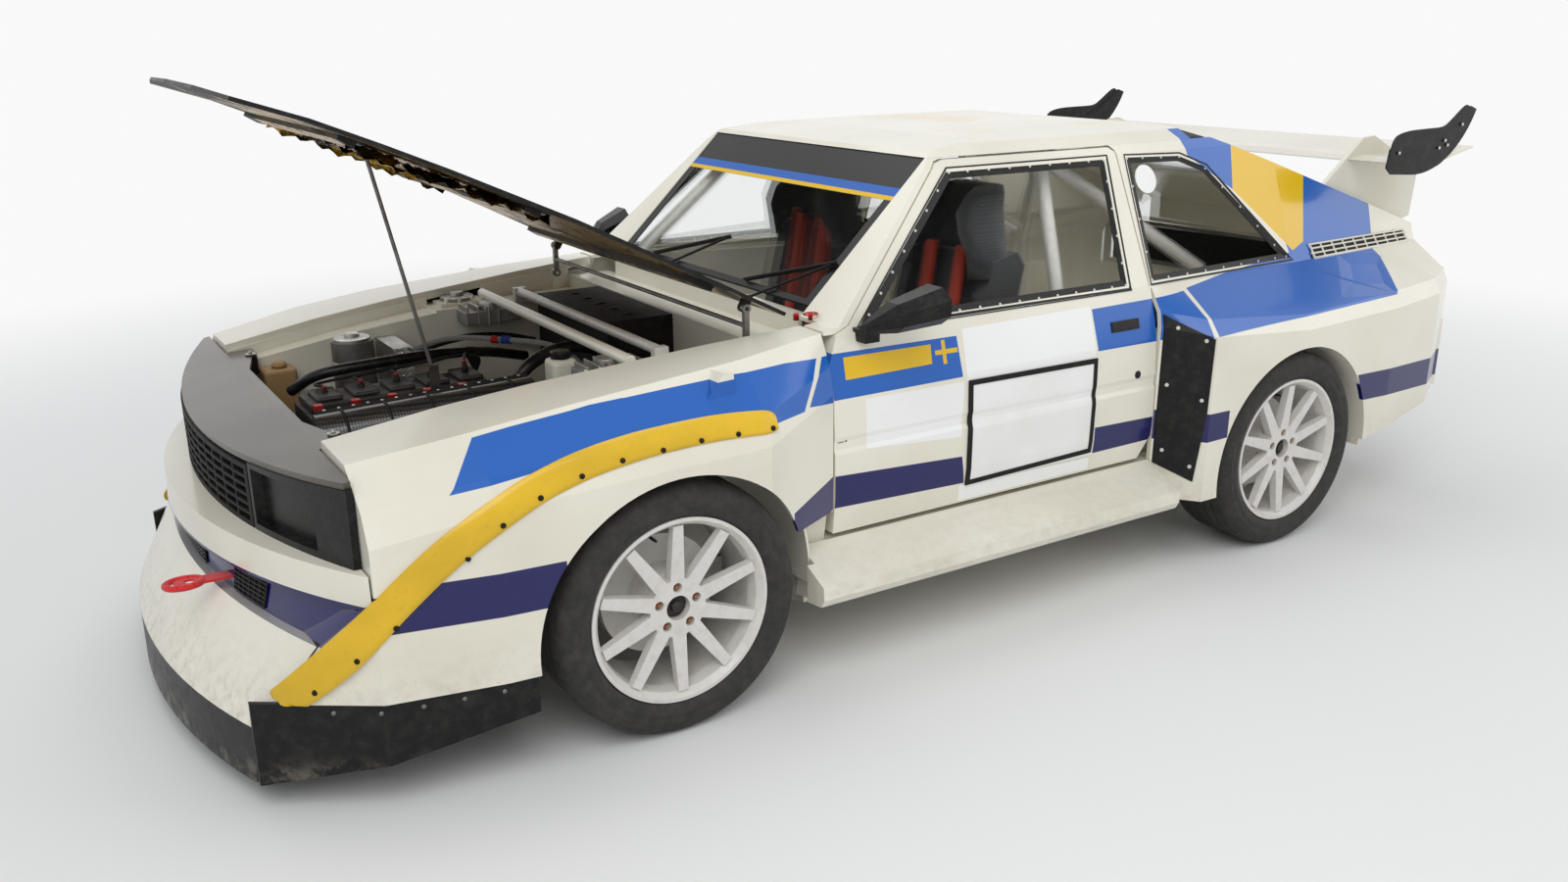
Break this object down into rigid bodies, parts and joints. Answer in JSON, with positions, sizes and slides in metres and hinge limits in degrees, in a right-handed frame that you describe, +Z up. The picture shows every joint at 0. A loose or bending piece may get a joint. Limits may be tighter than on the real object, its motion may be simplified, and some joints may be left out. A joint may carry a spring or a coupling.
{
  "type": "rally car",
  "caption": "Short-wheelbase two-door rally coupe with boxed wheel flares, open bonnet, rear wing, roll cage, steering wheels, doors and boot lid.",
  "frame": {"origin": "on the ground, at the middle of the car's length and width", "axes": "+X forward to the nose, +Y to the car's left side, +Z up"},
  "size_m": [4.2396, 1.92, 1.5282],
  "materials": {
    "body_paint": "ivory paint, gloss",
    "black_panel": "scuffed black laminate",
    "dark_metal": "dark metallic",
    "black_plastic": "black moulding",
    "glass": "clear glazing",
    "tyre": "dusty tread rubber",
    "rim": "white enamel, brake dust",
    "suspension": "dusty steel",
    "cast_metal": "cast aluminium",
    "engine": "dark casting",
    "cage_tube": "light grey paint",
    "fabric": "dark grey woven",
    "trim": "matt black",
    "exhaust_steel": "heat-tinted steel",
    "red_lens": "red lens",
    "red_strap": "red webbing",
    "grille": "black moulding"
  },
  "bodies": {
    "root": {"bay_boxes": "trim", "boot_floor": "body_paint", "cowl": "body_paint", "dashboard": "trim", "driveshafts": "suspension", "engine_block": "engine", "exhaust": "exhaust_steel", "floor_pan": "body_paint", "front_splitter": "black_panel", "front_suspension": "suspension", "front_wings": "body_paint", "gearbox": "cast_metal", "grille": "grille", "headlamps": "black_plastic", "inner_wings": "body_paint", "intake_plenum": "black_plastic", "nose_cone": "body_paint", "pillars": "body_paint", "quarter_windows": "glass", "radiator": "cast_metal", "rear_bumper": "body_paint", "rear_quarters": "body_paint", "rear_scuttle": "body_paint", "rear_suspension": "suspension", "rear_wheelhouses": "body_paint", "rear_window": "glass", "roll_cage": "cage_tube", "roof_panel": "body_paint", "seats": "fabric", "side_sills": "body_paint", "slam_panel": "dark_metal", "steering_column": "trim", "stone_guards": "black_panel", "strut_brace": "body_paint", "tail_lamps": "red_lens", "tail_panel": "dark_metal", "tow_loop": "red_strap", "windscreen": "glass", "wipers": "trim"},
    "bonnet_links": {"bonnet_links": "suspension"},
    "bonnet": {"bonnet": "body_paint"},
    "prop_rod": {"prop_rod": "suspension"},
    "door_left": {"door_left": "body_paint", "door_glass_left": "glass", "mirror_left": "black_plastic"},
    "door_right": {"door_right": "body_paint", "door_glass_right": "glass", "mirror_right": "black_plastic"},
    "boot_lid": {"boot_lid": "body_paint", "rear_wing": "body_paint"},
    "knuckle_left": {"knuckle_left": "suspension"},
    "knuckle_right": {"knuckle_right": "suspension"},
    "wheel_fl": {"tyre_fl": "tyre", "rim_fl": "rim"},
    "wheel_fr": {"tyre_fr": "tyre", "rim_fr": "rim"},
    "wheel_rl": {"tyre_rl": "tyre", "rim_rl": "rim"},
    "wheel_rr": {"tyre_rr": "tyre", "rim_rr": "rim"}
  },
  "joints": [
    {"name": "bonnet_link", "type": "hinge", "parent": "root", "child": "bonnet_links", "pos_m": [0.705, 0, 0.864], "axis": [0, 1, 0], "range_deg": [-90, 0]},
    {"name": "bonnet_tilt", "type": "hinge", "parent": "bonnet_links", "child": "bonnet", "pos_m": [0.705, 0, 0.954], "axis": [0, 1, 0], "range_deg": [0, 121.32]},
    {"name": "prop_swing", "type": "hinge", "parent": "bonnet", "child": "prop_rod", "pos_m": [1.47724, 0.1, 1.33926], "axis": [0.8545, 0, 0.5195], "range_deg": [-90, 0]},
    {"name": "door_left", "type": "hinge", "parent": "root", "child": "door_left", "pos_m": [0.525, 0.788, 0.6], "axis": [0, 0, -1], "range_deg": [0, 65]},
    {"name": "door_right", "type": "hinge", "parent": "root", "child": "door_right", "pos_m": [0.525, -0.788, 0.6], "axis": [0, 0, 1], "range_deg": [0, 65]},
    {"name": "boot_lid", "type": "hinge", "parent": "root", "child": "boot_lid", "pos_m": [-1.556, 0, 1.124], "axis": [0, 1, 0], "range_deg": [0, 55]},
    {"name": "steer_left", "type": "hinge", "parent": "root", "child": "knuckle_left", "pos_m": [1.06, 0.7, 0.2], "axis": [0, -0.2079, 0.9781], "range_deg": [-30, 30]},
    {"name": "steer_right", "type": "hinge", "parent": "root", "child": "knuckle_right", "pos_m": [1.06, -0.7, 0.2], "axis": [0, 0.2079, 0.9781], "range_deg": [-30, 30]},
    {"name": "wheel_fl_spin", "type": "hinge", "parent": "knuckle_left", "child": "wheel_fl", "pos_m": [1.06, 0.7875, 0.32], "axis": [0, 1, 0], "continuous": true},
    {"name": "wheel_fr_spin", "type": "hinge", "parent": "knuckle_right", "child": "wheel_fr", "pos_m": [1.06, -0.7875, 0.32], "axis": [0, 1, 0], "continuous": true},
    {"name": "wheel_rl_spin", "type": "hinge", "parent": "root", "child": "wheel_rl", "pos_m": [-1.144, 0.7875, 0.32], "axis": [0, 1, 0], "continuous": true},
    {"name": "wheel_rr_spin", "type": "hinge", "parent": "root", "child": "wheel_rr", "pos_m": [-1.144, -0.7875, 0.32], "axis": [0, 1, 0], "continuous": true}
  ],
  "couplings": [
    {"joint": "bonnet_tilt", "follows": "bonnet_link", "ratio": -1.348},
    {"joint": "prop_swing", "follows": "bonnet_link", "ratio": 1},
    {"joint": "steer_right", "follows": "steer_left", "ratio": 1}
  ]
}
